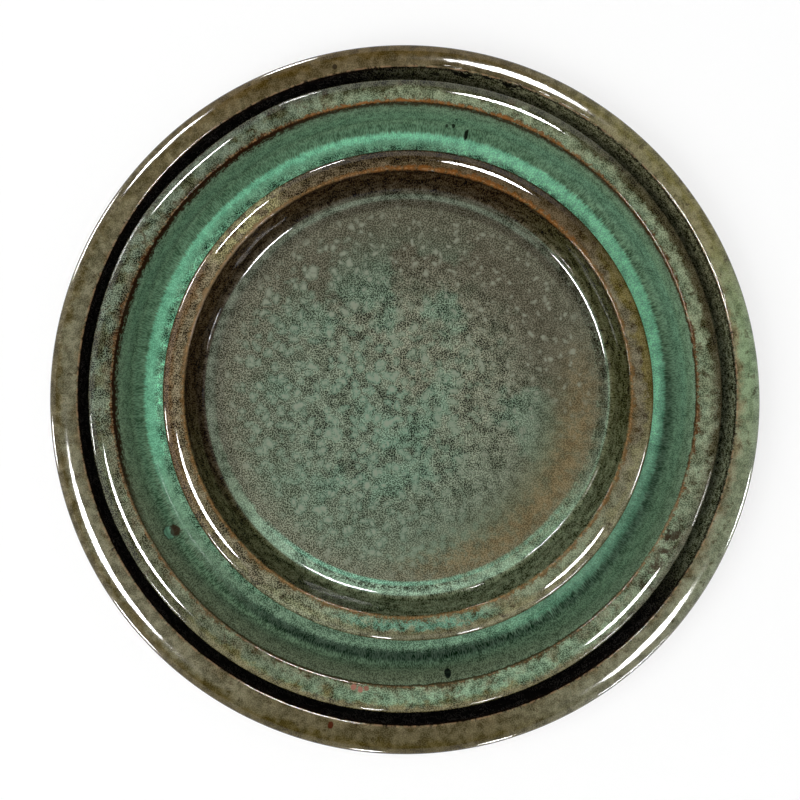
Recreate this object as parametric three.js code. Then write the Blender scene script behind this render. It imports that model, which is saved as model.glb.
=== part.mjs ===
// Three glazed stoneware plant saucers, nested one in the next. Millimetres, +Z up.
// The origin is on the ground, under the centre of the large saucer.
import * as THREE from "three";

// Flat sides round each saucer, a multiple of four, and flat steps in each quarter turn of a corner.
const SIDES = 72;
const CORNER_STEPS = 4;

// The large saucer stands on the ground. Across is over the lip, and floor is the clay under the pot.
const LARGE_ACROSS = 360;
const LARGE_HEIGHT = 50;
const LARGE_LIP = 13.3;
const LARGE_WALL = 9.5;
const LARGE_FLOOR = 8;
const LARGE_COVE = 10;

// The medium saucer stands in the large one, with this much room all round its lip.
const MEDIUM_ROOM = 7.1;
const MEDIUM_HEIGHT = 46;
const MEDIUM_LIP = 12.5;
const MEDIUM_WALL = 9;
const MEDIUM_FLOOR = 7.5;
const MEDIUM_COVE = 10;

// The small saucer stands in the medium one.
const SMALL_ROOM = 23.7;
const SMALL_HEIGHT = 38;
const SMALL_LIP = 11.5;
const SMALL_WALL = 8;
const SMALL_FLOOR = 7;
const SMALL_COVE = 5;

// What all three share: the wall's lean from the vertical, in radians, and the corners of the lip.
const WALL_LEAN = THREE.MathUtils.degToRad(14);
const SHOULDER_RADIUS = 7;
const EDGE_RADIUS = 1;
const LIP_BAND = 1.5;
const LIP_DEPTH = 18;

// The bare foot ring, set in from the bottom corner of the wall.
const HEEL_RADIUS = 6;
const FOOT_INSET = 12;
const FOOT_WIDTH = 8;
const FOOT_HEIGHT = 4;
const FOOT_CHAMFER = 1;

// Hand work: how far each hollow lies off its own lip's centre, and each saucer off the one it is in.
const LARGE_DRIFT = new THREE.Vector2(1.1, 1.9);
const MEDIUM_DRIFT = new THREE.Vector2(-0.3, 1.2);
const SMALL_DRIFT = new THREE.Vector2(-0.25, 1.2);
const MEDIUM_PLACE = new THREE.Vector2(0, 2);
const SMALL_PLACE = new THREE.Vector2(1.4, 0.3);

const STRAIGHT_DOWN = -Math.PI / 2;
const STRAIGHT_UP = Math.PI / 2;

// Points of an arc in the profile's plane, x out from the axis and y up.
function arc(x, y, radius, from, to) {
  const steps = Math.max(2, Math.round((CORNER_STEPS * Math.abs(to - from)) / STRAIGHT_UP));
  return Array.from({ length: steps + 1 }, (_, i) => {
    const turn = from + ((to - from) * i) / steps;
    return new THREE.Vector2(x + radius * Math.cos(turn), y + radius * Math.sin(turn));
  });
}

// The sizes of one saucer that others need: its hollow's mouth, and how high its floor is.
function plan(across, height, lip, wall, floor, cove) {
  const lipRadius = across / 2;
  return { height, wall, cove, lipRadius, mouth: lipRadius - lip, floorTop: FOOT_HEIGHT + floor };
}

// The wall's inner face at height y, and its outer face, which is parallel to it.
function innerFace(saucer, y) {
  return saucer.mouth - (saucer.height - y) * Math.tan(WALL_LEAN);
}

function outerFace(saucer, y) {
  return innerFace(saucer, y) + saucer.wall / Math.cos(WALL_LEAN);
}

// The underside, from the axis out to the wall: foot ring first, then the rounded heel.
function underside(saucer) {
  const footOut = outerFace(saucer, FOOT_HEIGHT) - FOOT_INSET;
  const footIn = footOut - FOOT_WIDTH;
  const heelY = FOOT_HEIGHT + HEEL_RADIUS;
  const heelX = outerFace(saucer, heelY) - HEEL_RADIUS / Math.cos(WALL_LEAN);
  return [
    new THREE.Vector2(0, FOOT_HEIGHT),
    new THREE.Vector2(footIn, FOOT_HEIGHT),
    new THREE.Vector2(footIn, FOOT_CHAMFER),
    new THREE.Vector2(footIn + FOOT_CHAMFER, 0),
    new THREE.Vector2(footOut - FOOT_CHAMFER, 0),
    new THREE.Vector2(footOut, FOOT_CHAMFER),
    new THREE.Vector2(footOut, FOOT_HEIGHT),
    ...arc(heelX, heelY, HEEL_RADIUS, STRAIGHT_DOWN, -WALL_LEAN),
  ];
}

// The lip, from the wall under it, over the round shoulder, to the flat top.
function lip(saucer) {
  const under = saucer.height - LIP_DEPTH;
  const bandTop = saucer.height - SHOULDER_RADIUS;
  const bandBottom = bandTop - LIP_BAND;
  const pull = (bandBottom - under) / 2;
  const start = new THREE.Vector2(outerFace(saucer, under), under);
  const roll = new THREE.CubicBezierCurve(
    start,
    new THREE.Vector2(outerFace(saucer, under + pull), under + pull),
    new THREE.Vector2(saucer.lipRadius, bandBottom - pull),
    new THREE.Vector2(saucer.lipRadius, bandBottom),
  );
  const shoulderX = saucer.lipRadius - SHOULDER_RADIUS;
  return [
    ...roll.getPoints(CORNER_STEPS),
    ...arc(shoulderX, bandTop, SHOULDER_RADIUS, 0, STRAIGHT_UP),
  ];
}

// The hollow, from the lip's inner edge, down the wall and round the cove, to the middle of the floor.
function hollow(saucer) {
  const edgeY = saucer.height - EDGE_RADIUS;
  const edgeX = innerFace(saucer, edgeY) + EDGE_RADIUS / Math.cos(WALL_LEAN);
  const coveY = saucer.floorTop + saucer.cove;
  const coveX = innerFace(saucer, coveY) - saucer.cove / Math.cos(WALL_LEAN);
  return [
    ...arc(edgeX, edgeY, EDGE_RADIUS, STRAIGHT_UP, Math.PI - WALL_LEAN),
    ...arc(coveX, coveY, saucer.cove, -WALL_LEAN, STRAIGHT_DOWN),
    new THREE.Vector2(0, saucer.floorTop),
  ];
}

// One saucer, turned about +Z. Its hollow drifts to the side, and the flat top of the lip takes that up.
function turn(saucer, drift) {
  const outside = [...underside(saucer), ...lip(saucer)];
  const profile = [...outside, ...hollow(saucer)];
  const geometry = new THREE.LatheGeometry(profile, SIDES).rotateX(Math.PI / 2);
  const places = geometry.getAttribute("position");
  for (let i = 0; i < places.count; i += 1) {
    if (i % profile.length >= outside.length) {
      places.setXY(i, places.getX(i) + drift.x, places.getY(i) + drift.y);
    }
  }
  geometry.computeVertexNormals();
  return geometry;
}

function glaze(colour) {
  return new THREE.MeshStandardMaterial({ color: colour, roughness: 0.12, metalness: 0 });
}

function piece(name, saucer, drift, colour) {
  const mesh = new THREE.Mesh(turn(saucer, drift), glaze(colour));
  mesh.name = name;
  return mesh;
}

const large = plan(LARGE_ACROSS, LARGE_HEIGHT, LARGE_LIP, LARGE_WALL, LARGE_FLOOR, LARGE_COVE);
const mediumAcross = 2 * (large.mouth - MEDIUM_ROOM);
const medium = plan(
  mediumAcross, MEDIUM_HEIGHT, MEDIUM_LIP, MEDIUM_WALL, MEDIUM_FLOOR, MEDIUM_COVE,
);
const smallAcross = 2 * (medium.mouth - SMALL_ROOM);
const small = plan(smallAcross, SMALL_HEIGHT, SMALL_LIP, SMALL_WALL, SMALL_FLOOR, SMALL_COVE);

// The small saucer lifts out of the medium one, and the two together out of the large one.
const smallGroup = new THREE.Group();
smallGroup.position.set(SMALL_PLACE.x, SMALL_PLACE.y, medium.floorTop);
smallGroup.add(piece("small_saucer", small, SMALL_DRIFT, 0x6b6a54));

const mediumGroup = new THREE.Group();
mediumGroup.position.set(MEDIUM_PLACE.x, MEDIUM_PLACE.y, large.floorTop);
mediumGroup.add(piece("medium_saucer", medium, MEDIUM_DRIFT, 0x53785f), smallGroup);

const saucers = new THREE.Group();
saucers.add(piece("large_saucer", large, LARGE_DRIFT, 0x655f46), mediumGroup);

export default saucers;
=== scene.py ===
"""Three nested glazed stoneware plant saucers on a pale floor, seen from straight above.

Metres, +Z up. Each saucer is one closed mesh, turned from a drawn half section. A point's station is
its length along that section, counted from the inner edge of the lip. It grows down the wall and in
over the floor, and it is negative over the lip and down the outside. A bearing is an angle round the
saucer, in degrees from +X towards +Y.
"""

import math
from typing import NamedTuple

import bmesh
import bpy
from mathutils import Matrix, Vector, noise


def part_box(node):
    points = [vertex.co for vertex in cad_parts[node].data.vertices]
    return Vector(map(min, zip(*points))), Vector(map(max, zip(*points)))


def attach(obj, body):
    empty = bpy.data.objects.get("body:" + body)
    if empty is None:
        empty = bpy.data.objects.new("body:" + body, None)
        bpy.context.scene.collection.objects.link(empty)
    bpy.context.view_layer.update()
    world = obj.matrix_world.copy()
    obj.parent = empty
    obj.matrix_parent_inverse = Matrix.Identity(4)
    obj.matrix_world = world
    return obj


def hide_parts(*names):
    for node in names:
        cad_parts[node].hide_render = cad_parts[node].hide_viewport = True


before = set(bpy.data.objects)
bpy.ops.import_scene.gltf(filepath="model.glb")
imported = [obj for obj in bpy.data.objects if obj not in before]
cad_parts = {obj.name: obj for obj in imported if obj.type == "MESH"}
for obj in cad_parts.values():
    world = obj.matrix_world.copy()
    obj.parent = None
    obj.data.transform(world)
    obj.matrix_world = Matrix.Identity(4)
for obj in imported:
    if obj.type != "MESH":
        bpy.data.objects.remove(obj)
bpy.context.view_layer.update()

bl_info = {
    "name": "Nested plant saucers",
    "version": (1, 0, 0),
    "blender": (4, 5, 0),
    "location": "3D View > Sidebar > Saucers",
    "description": "Three nested glazed stoneware plant saucers, with their floor, lamps and camera",
    "category": "Object",
}

MM = 0.001
AXIS = Vector((0, 0, 1))

# The photograph is 800 pixels square, and the set's centre lies at this one.
IMAGE_PIXELS = 800
CENTRE_PIXEL = (405.0, 399.9)


def linear(level):
    """A screen colour level, 0 to 255, as linear light."""
    share = level / 255
    return share / 12.92 if share <= 0.04045 else ((share + 0.055) / 1.055) ** 2.4


def tone(code):
    """A colour given as it looks on a screen, as #rrggbb."""
    return tuple(linear(level) for level in bytes.fromhex(code[1:]))


def length(name, description, millimetres):
    """A length that a user may set, given in millimetres and kept in metres."""
    return bpy.props.FloatProperty(
        name=name, description=description, default=millimetres * MM, precision=5, unit="LENGTH"
    )


def shift(name, description, millimetres):
    """A sideways move that a user may set, given in millimetres along X and Y."""
    default = tuple(way * MM for way in millimetres)
    return bpy.props.FloatVectorProperty(
        name=name, description=description, default=default, size=2, precision=5, unit="LENGTH"
    )


def glaze(name, description, code):
    """A glaze colour that a user may set, given as it looks on a screen."""
    return bpy.props.FloatVectorProperty(
        name=name, description=description, default=tone(code), size=3, subtype="COLOR"
    )


def number(name, description, value):
    """A plain number that a user may set."""
    return bpy.props.FloatProperty(name=name, description=description, default=value, precision=3)


class SharedShape(bpy.types.PropertyGroup):
    """What the sections of all three saucers have in common."""

    lean: bpy.props.FloatProperty(
        name="Wall lean",
        description="How far the wall leans out from the vertical",
        default=math.radians(14),
        unit="ROTATION",
    )
    rim_turn: length("Rim turn", "Radius of the shoulder's tight outer turn", 3)
    edge: length("Inner edge", "Radius of the lip's inner edge", 0.9)
    under_lip: length("Under the lip", "Height below the rim where the wall turns out to the lip", 15.7)
    lip_foot: length("Foot of the lip", "Height below the rim where the lip turns upright", 10.9)
    hollow_rounding: length("Hollow under the lip", "Radius of the hollow turn below the lip", 11)
    full_rounding: length("Turn into the lip", "Radius of the full turn below the lip", 6.9)
    heel: length("Heel", "Radius of the wall's rounded heel", 6)
    foot_inset: length("Foot inset", "From the heel in to the foot ring", 12)
    foot_width: length("Foot width", "Width of the foot ring", 8)
    foot_height: length("Foot height", "Height of the foot ring below the underside", 4)
    foot_rounding: length("Foot rounding", "Radius of the foot ring's corners", 0.9)
    glaze_line: length("Glaze line", "Height above the heel where the glaze ends", 3.5)
    glaze_depth: length("Glaze thickness", "How far the glaze stands proud of the bare clay", 0.45)


# What a user may set on each saucer.
SAUCER_SETTINGS = {
    "lip": (length, "Lip", "Width of the lip, from its outermost point to the hollow's mouth"),
    "shoulder": (length, "Shoulder", "Width of the lip's round outer shoulder"),
    "crown": (length, "Crown", "Radius of the shoulder's upper turn"),
    "wall": (length, "Wall", "Thickness of the wall, square to its face"),
    "floor": (length, "Floor", "Thickness of the clay under the pot"),
    "cove": (length, "Cove", "Radius of the turn from wall to floor"),
    "drift": (shift, "Drift", "How far the hollow lies off the lip's centre"),
    "ridge": (length, "Throwing ridges", "How far the ridges on the wall stand out"),
    "peel": (length, "Peel", "How far the glaze on the lip swells"),
    "brush": (length, "Brush marks", "Depth of the fine marks that run round in the glaze"),
    "soft_shine": (number, "Soft shine", "How far the glaze blurs what it mirrors"),
    "land": (glaze, "Lip glaze", "Main colour of the lip"),
    "land_second": (glaze, "Lip mottle", "Second colour of the lip"),
    # The wall glaze also carries painted shading: painted shade on the large saucer, painted light on the
    # medium one.
    "wall_glaze": (glaze, "Wall glaze", "Main colour of the inner wall"),
    "wall_streak": (glaze, "Wall streaks", "Streaks on the inner wall"),
    "pool": (glaze, "Pooled glaze", "Where the glaze pools in the cove"),
    "floor_glaze": (glaze, "Floor glaze", "Main colour of the floor"),
    "outside": (glaze, "Outside glaze", "Colour of the wall's outside"),
    # The rust edge also carries a painted highlight: on the large saucer it is a pale glinting line.
    "rust": (glaze, "Rust edge", "Where the glaze breaks on the inner edge"),
    "fringe": (glaze, "Dark fringe", "Dark glaze just below the inner edge"),
}


def saucer_settings(**defaults):
    """The properties of one saucer, each with that saucer's own default."""
    return {name: kind(*words, defaults[name]) for name, (kind, *words) in SAUCER_SETTINGS.items()}


class LargeSaucer(bpy.types.PropertyGroup):
    """The outermost saucer."""

    __annotations__ = saucer_settings(
        lip=13.3,
        shoulder=9.5,
        crown=18,
        wall=9.5,
        floor=8,
        cove=10,
        drift=(1.1, 1.9),
        ridge=0.05,
        peel=0.07,
        brush=0.09,
        soft_shine=0.08,
        land="#6a6146",
        land_second="#564d30",
        # Its wall glaze is painted shade, near black, for the deep gap round the medium saucer; its wall
        # streaks show only on the lit side, as painted light.
        wall_glaze="#120e09",
        wall_streak="#46482e",
        pool="#547860",
        floor_glaze="#58604c",
        outside="#564e38",
        # Its rust edge is a pale line, partly the glaze's break and partly a painted highlight along the
        # inner edge.
        rust="#a08060",
        fringe="#1e140c",
    )


class MediumSaucer(bpy.types.PropertyGroup):
    """The saucer in the middle."""

    __annotations__ = saucer_settings(
        lip=12.5,
        shoulder=7,
        crown=10,
        wall=9,
        floor=7.5,
        cove=10,
        drift=(-0.3, 1.2),
        ridge=0.012,
        peel=0.02,
        brush=0.009,
        soft_shine=0.05,
        land="#686a52",
        land_second="#4e5038",
        # Its wall glaze is lighter than the glaze itself: painted light for the steep wall, which the lamps
        # reach only at a slant.
        wall_glaze="#84a082",
        wall_streak="#6c8e6e",
        pool="#74b894",
        floor_glaze="#5c8066",
        outside="#505842",
        rust="#704620",
        fringe="#362111",
    )


class SmallSaucer(bpy.types.PropertyGroup):
    """The innermost saucer."""

    __annotations__ = saucer_settings(
        lip=11.5,
        shoulder=7,
        crown=10,
        wall=8,
        floor=7,
        cove=5,
        drift=(-0.25, 1.2),
        ridge=0.11,
        peel=0.02,
        brush=0.009,
        soft_shine=0.05,
        land="#6a6248",
        land_second="#544832",
        wall_glaze="#4e5032",
        wall_streak="#38361e",
        pool="#809a80",
        floor_glaze="#6e715f",
        outside="#54523c",
        rust="#684c28",
        fringe="#22160a",
    )


class StageSettings(bpy.types.PropertyGroup):
    """The floor, the lamps and the camera."""

    camera_height: length("Camera height", "From the scale plane up to the camera", 1300)
    scale_plane: length("Scale plane", "Height of the large lip's widest band", 44)
    pixel: length("Pixel", "What one pixel of the photograph measures at the scale plane", 0.5076)
    sensor: length("Sensor", "Width of the camera's sensor", 36)
    floor_size: length("Floor size", "Half the width of the pale floor", 8000)
    sky: number("Sky", "How brightly the surroundings light the set", 0.36)
    key: number("Key lamp", "What the key lamp adds on level ground, as a share of full light", 0.26)
    top: number("Top lamp", "What the top lamp adds on level ground, as a share of full light", 0.38)
    boxes: number("Softboxes", "Brightness of the softboxes as the glaze mirrors them", 130)


def put(name, data):
    """Put a mesh, a lamp or a camera in the scene."""
    made = bpy.data.objects.new(name, data)
    bpy.context.scene.collection.objects.link(made)
    return made


def put_drawn(name, bm):
    """Put what a bmesh holds in the scene."""
    mesh = bpy.data.meshes.new(name)
    bm.to_mesh(mesh)
    bm.free()
    return put(name, mesh)


# The shape of a saucer


class Corner(NamedTuple):
    """A corner of the half section, and the radius that rounds it."""

    out: float
    up: float
    rounding: float


# Two roundings that share a straight leave a little of it between them.
SNUG = 0.98

# The curve under the lip is this much longer than it is wide.
UNDER_LIP_SLOPE = 1.5


class Section:
    """The sizes of one saucer's half section, from its CAD node's box and its own settings."""

    def __init__(self, node, own, shared):
        low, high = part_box(node)
        self.own = own
        self.shared = shared
        self.base = low.z
        self.top = high.z
        self.across = (high.x - low.x) / 2
        self.centre = Vector(((low.x + high.x) / 2, (low.y + high.y) / 2, 0))
        self.drift = Vector((*own.drift, 0))
        self.mouth = self.across - own.lip
        self.under = self.base + shared.foot_height
        self.floor_top = self.under + own.floor

    def inner(self, up):
        """The wall's inner face at a height."""
        return self.mouth - (self.top - up) * math.tan(self.shared.lean)

    def outer(self, up):
        """The wall's outer face at a height."""
        return self.inner(up) + self.own.wall / math.cos(self.shared.lean)

    def corners(self):
        """The corners, from the middle of the underside round to the middle of the floor."""
        shared = self.shared
        foot_out = self.outer(self.under) - shared.foot_inset
        foot_in = foot_out - shared.foot_width
        neck = self.top - shared.under_lip
        return [
            Corner(0, self.under, 0),
            Corner(foot_in, self.under, shared.foot_rounding),
            Corner(foot_in, self.base, shared.foot_rounding),
            Corner(foot_out, self.base, shared.foot_rounding),
            Corner(foot_out, self.under, shared.foot_rounding),
            Corner(self.outer(self.under), self.under, shared.heel),
            Corner(self.outer(neck), neck, shared.hollow_rounding),
            Corner(self.across, self.top - shared.lip_foot, shared.full_rounding),
            *self.shoulder_corners(),
            Corner(self.mouth, self.top, shared.edge),
            Corner(self.inner(self.floor_top), self.floor_top, self.own.cove),
            Corner(0, self.floor_top, 0),
        ]

    def turn(self):
        """How far the section turns at the inner edge, and again at the cove."""
        return math.pi / 2 - self.shared.lean

    def crown_turn(self):
        """How far the section turns over the crown, before the shoulder's tight outer turn."""
        rim_turn = self.shared.rim_turn
        return math.asin((self.own.shoulder - rim_turn) / (self.own.crown - rim_turn))

    def shoulder_corners(self):
        """The two corners of the shoulder, at the rim and then on the crown."""
        crown, rim = self.own.crown, self.shared.rim_turn
        turn = self.crown_turn()
        crown_reach = crown * math.tan(turn / 2)
        rim_reach = rim * math.tan((math.pi / 2 - turn) / 2)
        drop = (crown_reach + rim_reach) * math.sin(turn)
        across = self.across - self.own.shoulder + crown_reach
        return [
            Corner(self.across, self.top - drop, rim * SNUG),
            Corner(across, self.top, crown * SNUG),
        ]

    def shoulder_length(self):
        """The length of the shoulder along the section."""
        turn = self.crown_turn()
        return self.own.crown * turn + self.shared.rim_turn * (math.pi / 2 - turn)

    def cove_station(self):
        """The station where the wall runs into the cove."""
        wall = (self.top - self.floor_top) / math.cos(self.shared.lean)
        return wall - self.own.cove * math.tan(self.turn() / 2)

    def floor_station(self):
        """The station where the cove runs out into the level floor."""
        return self.cove_station() + self.own.cove * self.turn()

    def land_station(self):
        """The station where the level top of the lip meets the round shoulder."""
        return self.own.shoulder - self.own.lip

    def glaze_end_station(self):
        """The station where the glaze ends, low on the outside."""
        shared = self.shared
        shoulder = self.land_station() - self.shoulder_length()
        wall_top = self.top - shared.under_lip
        reach = (shared.under_lip - self.own.shoulder) * UNDER_LIP_SLOPE
        drop = (wall_top - self.under - shared.glaze_line) / math.cos(shared.lean)
        return shoulder - reach - drop


# How far apart the points of the section are, on arcs, on the walls and lip, on the floor and beneath.
ARC_STEP = 0.9 * MM
FACE_STEP = 1.4 * MM
FLOOR_STEP = 1.9 * MM
UNDER_STEP = 5 * MM
FEWEST_STEPS = 3
SECTORS = 12

# Points closer than this are one point.
SAME = 1e-6


def corner_turn(before, corner, after):
    """How far the section turns at a corner."""
    way_in = Vector((corner.out - before.out, corner.up - before.up))
    way_out = Vector((after.out - corner.out, after.up - corner.up))
    return way_in.angle(way_out)


def draw_section(bm, section):
    """Draw the half section as one chain of edges, with its corners rounded and its straights divided."""
    corners = section.corners()
    ends = [bm.verts.new((corner.out, 0, corner.up)) for corner in corners]
    for pair in zip(ends, ends[1:]):
        bm.edges.new(pair)
    for before, corner, after in zip(corners, corners[1:], corners[2:]):
        place = Vector((corner.out, 0, corner.up))
        vert = min(bm.verts, key=lambda v: (v.co - place).length)
        turn = corner_turn(before, corner, after)
        bmesh.ops.bevel(
            bm,
            geom=[vert],
            offset=corner.rounding * math.tan(turn / 2),
            offset_type="OFFSET",
            segments=max(FEWEST_STEPS, round(corner.rounding * turn / ARC_STEP)),
            profile=0.5,
            affect="VERTICES",
            material=-1,
        )
    for edge in bm.edges[:]:
        middle = (edge.verts[0].co + edge.verts[1].co) / 2
        level = abs(edge.verts[0].co.z - edge.verts[1].co.z) < SAME
        step = FACE_STEP
        if level and abs(middle.z - section.under) < SAME:
            step = UNDER_STEP
        if level and abs(middle.z - section.floor_top) < SAME:
            step = FLOOR_STEP
        cuts = math.ceil(edge.calc_length() / step) - 1
        if cuts > 0:
            bmesh.ops.subdivide_edges(bm, edges=[edge], cuts=cuts)


def mark_stations(bm, section):
    """Write each point's station on the drawn chain, before it is turned."""
    layer = bm.verts.layers.float.new("station")
    ends = [v for v in bm.verts if len(v.link_edges) == 1]
    vert = min(ends, key=lambda v: v.co.z)
    walked = 0
    edge = None
    chain = [(vert, walked)]
    while edge is None or len(vert.link_edges) == 2:
        edge = next(e for e in vert.link_edges if e is not edge)
        vert = edge.other_vert(vert)
        walked += edge.calc_length()
        chain.append((vert, walked))
    mouth = Vector((section.mouth, 0, section.top))
    zero = min(chain, key=lambda link: (link[0].co - mouth).length)[1]
    for link, reach in chain:
        link[layer] = reach - zero
    return layer


def turn_section(bm, sides):
    """Turn the drawn section through one sector, and copy that sector the rest of the way round."""
    sector = math.tau / SECTORS
    common = {"cent": (0, 0, 0), "axis": AXIS, "use_merge": False}
    line = bm.verts[:] + bm.edges[:]
    bmesh.ops.spin(bm, geom=line, angle=sector, steps=sides // SECTORS, use_duplicate=False, **common)
    turned = bm.verts[:] + bm.edges[:] + bm.faces[:]
    others = SECTORS - 1
    bmesh.ops.spin(bm, geom=turned, angle=sector * others, steps=others, use_duplicate=True, **common)
    bmesh.ops.remove_doubles(bm, verts=bm.verts[:], dist=SAME)


def smooth(value, low, high):
    """A soft step from 0 at low to 1 at high."""
    share = min(max((value - low) / (high - low), 0), 1)
    return share * share * (3 - 2 * share)


def hump(away):
    """A soft hump of 1 in the middle, falling off with the distance from it."""
    return math.exp(-(away**2))


class Wobble(NamedTuple):
    """A soft swelling of the lip's outline, in metres, round a bearing."""

    bearing: float
    spread: float
    out: float

    def at(self, bearing):
        """How far it moves the outline at a bearing."""
        away = (bearing - self.bearing + 180) % 360 - 180
        return self.out * hump(away / self.spread)


def waver(place, size, seed):
    """Soft noise from about -1 to 1, with lumps of the given size."""
    return noise.noise(place / size + Vector((seed, 7.3 * seed, 0)))


# How far the maker's hand and the glaze move the points, and how long the lumps are.
RIM_RING = 100 * MM
LIP_SAG = 0.3 * MM
LIP_SAG_SIZE = 70 * MM
LIP_SAG_REACH = 20 * MM
WALL_SWELL = 0.08 * MM
WALL_SWELL_SIZE = 26 * MM
WALL_STATIONS = (3 * MM, 12 * MM)
RIDGE_LENGTH = 0.2
RIDGE_WIDTH = 5 * MM
PEEL_SIZE = 6 * MM
LIP_STATIONS = (-1 * MM, 0)
FLOOR_SWELL = 0.14 * MM
FLOOR_SWELL_SIZE = 9 * MM
FLOOR_STATIONS = (-4 * MM, 6 * MM)
GLAZE_LINE_WAVE = 1.6 * MM
GLAZE_LINE_WAVE_SIZE = 20 * MM
HEEL_REACH = 2 * MM
BEAD_WIDTH = 1.1 * MM
BEAD_PLACE = 1.5 * BEAD_WIDTH
BEAD_HEIGHT = 0.6


def work_by_hand(bm, section, layer, wobbles, seed):
    """Move the turned points as the maker's hand and the flowing glaze did."""
    own, shared, top = section.own, section.shared, section.top
    land = section.land_station()
    shoulder = land - section.shoulder_length()
    cove = section.cove_station()
    level = section.floor_station()
    glaze_end = section.glaze_end_station()
    for vert in bm.verts:
        station = vert[layer]
        radius = math.hypot(vert.co.x, vert.co.y)
        way = Vector((0, 0, 0))
        if radius >= SAME:
            way = Vector((vert.co.x / radius, vert.co.y / radius, 0))
        bearing = math.degrees(math.atan2(way.y, way.x))
        rim = way * RIM_RING

        outline = sum(wobble.at(bearing) for wobble in wobbles)
        outside = 1 - smooth(station, land, 0)
        move = way * outline * outside * smooth(vert.co.z, section.under, top)

        sag = LIP_SAG * (0.5 + 0.5 * waver(rim, LIP_SAG_SIZE, seed + 3))
        move.z -= sag * smooth(vert.co.z, top - LIP_SAG_REACH, top)

        ridges = Vector((way.x / RIDGE_LENGTH, way.y / RIDGE_LENGTH, station / RIDGE_WIDTH))
        swell = WALL_SWELL * waver(vert.co, WALL_SWELL_SIZE, seed) + own.ridge * waver(ridges, 1, seed + 7)
        wall = smooth(station, *WALL_STATIONS) * (1 - smooth(station, cove, level))
        move -= way * swell * wall

        lip = smooth(station, shoulder, land) * (1 - smooth(station, *LIP_STATIONS))
        move.z += own.peel * waver(vert.co, PEEL_SIZE, seed + 11) * lip

        floor = smooth(station - level, *FLOOR_STATIONS)
        move.z += FLOOR_SWELL * waver(vert.co, FLOOR_SWELL_SIZE, seed + 5) * floor

        if station < land:
            line = glaze_end + GLAZE_LINE_WAVE * waver(rim, GLAZE_LINE_WAVE_SIZE, seed + 9)
            bare = 1 - smooth(station, line - BEAD_WIDTH, line + BEAD_WIDTH)
            bead = hump((station - line - BEAD_PLACE) / BEAD_WIDTH)
            heel = smooth(vert.co.z, section.under, section.under + HEEL_REACH)
            move += way * ((BEAD_HEIGHT * bead - bare) * shared.glaze_depth * heel)

        move += section.drift * smooth(station, land, -shared.edge)
        vert.co += move


class Blemish(NamedTuple):
    """A pit in the glaze, or a drop on it where the depth is negative, in degrees and metres."""

    bearing: float
    station: float
    high: float
    wide: float
    depth: float

    def away(self, vert, layer):
        """How far a turned point is from the middle, as a share of the blemish's own size."""
        radius = math.hypot(vert.co.x, vert.co.y)
        turn = math.atan2(vert.co.y, vert.co.x) - math.radians(self.bearing)
        across = math.remainder(turn, math.tau) * radius / (self.wide / 2)
        return math.hypot(across, (vert[layer] - self.station) / (self.high / 2))


# How often the edges round a blemish are cut, how far it reaches, and its flat middle and raised rim, as
# shares of its own size and depth.
BLEMISH_CUTS = 3
BLEMISH_REACH = 1.6
BOWL_FLAT = 0.25
BOWL_RIM = 1.05
BOWL_RIM_WIDTH = 0.22
BOWL_RIM_HEIGHT = 0.22


def mark_blemish(bm, layer, blemish):
    """Divide the faces round a blemish, then sink or raise it."""
    near = {f for f in bm.faces if any(blemish.away(v, layer) < BLEMISH_REACH for v in f.verts)}
    edges = list({edge for face in near for edge in face.edges})
    bmesh.ops.subdivide_edges(bm, edges=edges, cuts=BLEMISH_CUTS, use_grid_fill=True)
    bmesh.ops.triangulate(bm, faces=[face for face in bm.faces if len(face.verts) > 4])
    bm.normal_update()
    moves = []
    for vert in bm.verts:
        away = blemish.away(vert, layer)
        if away < BLEMISH_REACH:
            bowl = 1 - smooth(away, BOWL_FLAT, 1)
            rim = hump((away - BOWL_RIM) / BOWL_RIM_WIDTH) * BOWL_RIM_HEIGHT
            moves.append((vert, vert.normal * (rim * abs(blemish.depth) - bowl * blemish.depth)))
    for vert, move in moves:
        vert.co += move


def throw_saucer(node, section, sides, wobbles, blemishes, seed):
    """Turn one saucer from its section."""
    bm = bmesh.new()
    draw_section(bm, section)
    layer = mark_stations(bm, section)
    turn_section(bm, sides)
    bmesh.ops.recalc_face_normals(bm, faces=bm.faces[:])
    for blemish in blemishes:
        mark_blemish(bm, layer, blemish)
    work_by_hand(bm, section, layer, wobbles, seed)
    bmesh.ops.translate(bm, verts=bm.verts[:], vec=section.centre)
    if not all(edge.is_manifold for edge in bm.edges):
        raise RuntimeError(f"the turned {node} isn't closed")
    for face in bm.faces:
        face.smooth = True
    return put_drawn(f"{node}_glazed", bm)


# The glazes


class Wire:
    """An output socket of a node. Sums on it add Math nodes."""

    def __init__(self, paint, socket):
        self.paint = paint
        self.socket = socket

    def __add__(self, other):
        return self.paint.math("ADD", self, other)

    def __radd__(self, other):
        return self.paint.math("ADD", other, self)

    def __sub__(self, other):
        return self.paint.math("SUBTRACT", self, other)

    def __rsub__(self, other):
        return self.paint.math("SUBTRACT", other, self)

    def __mul__(self, other):
        return self.paint.math("MULTIPLY", self, other)

    def __rmul__(self, other):
        return self.paint.math("MULTIPLY", other, self)


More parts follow.
